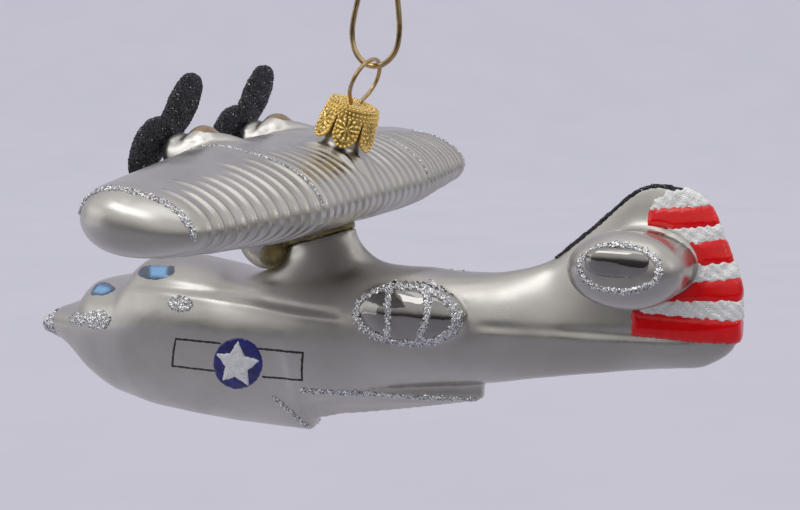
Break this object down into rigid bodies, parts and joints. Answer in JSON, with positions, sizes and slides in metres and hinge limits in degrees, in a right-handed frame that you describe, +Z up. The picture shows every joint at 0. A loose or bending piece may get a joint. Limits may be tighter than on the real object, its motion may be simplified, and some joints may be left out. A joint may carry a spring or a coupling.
{
  "type": "blown-glass flying boat tree ornament",
  "caption": "Blown-glass tree ornament shaped as a twin-engined flying boat, hanging by a crown cap, wire loop and wire hook.",
  "frame": {"origin": "inside of the hook's crook, where it rests on a branch", "axes": "+Z up, +X towards the tail, -Y the port side"},
  "size_m": [0.1398, 0.1138, 0.1123],
  "materials": {
    "hook_wire": "polished gold-coloured wire",
    "cap_gold": "embossed bright gold metal",
    "loop_wire": "polished gold-coloured wire",
    "wing_silver": "satin silver lacquer over silvered glass",
    "hull_silver": "satin silver lacquer over silvered glass",
    "glue_amber": "clear amber glue",
    "propeller_black": "black glitter"
  },
  "bodies": {
    "hook": {"hanging_hook": "hook_wire"},
    "cap": {"crown_cap": "cap_gold", "cap_loop": "loop_wire"},
    "glass": {"wing_glass": "wing_silver", "hull_glass": "hull_silver", "glue_bead": "glue_amber", "propeller_port": "propeller_black", "propeller_starboard": "propeller_black"}
  },
  "joints": [
    {"name": "swing", "type": "hinge", "parent": "hook", "child": "cap", "pos_m": [-0.0003, 0, -0.044], "axis": [1, 0, 0], "range_deg": [-60, 60]},
    {"name": "cap_pull", "type": "slide", "parent": "cap", "child": "glass", "axis": [-0.3714, 0, -0.9285], "range_m": [0, 0.014]}
  ]
}
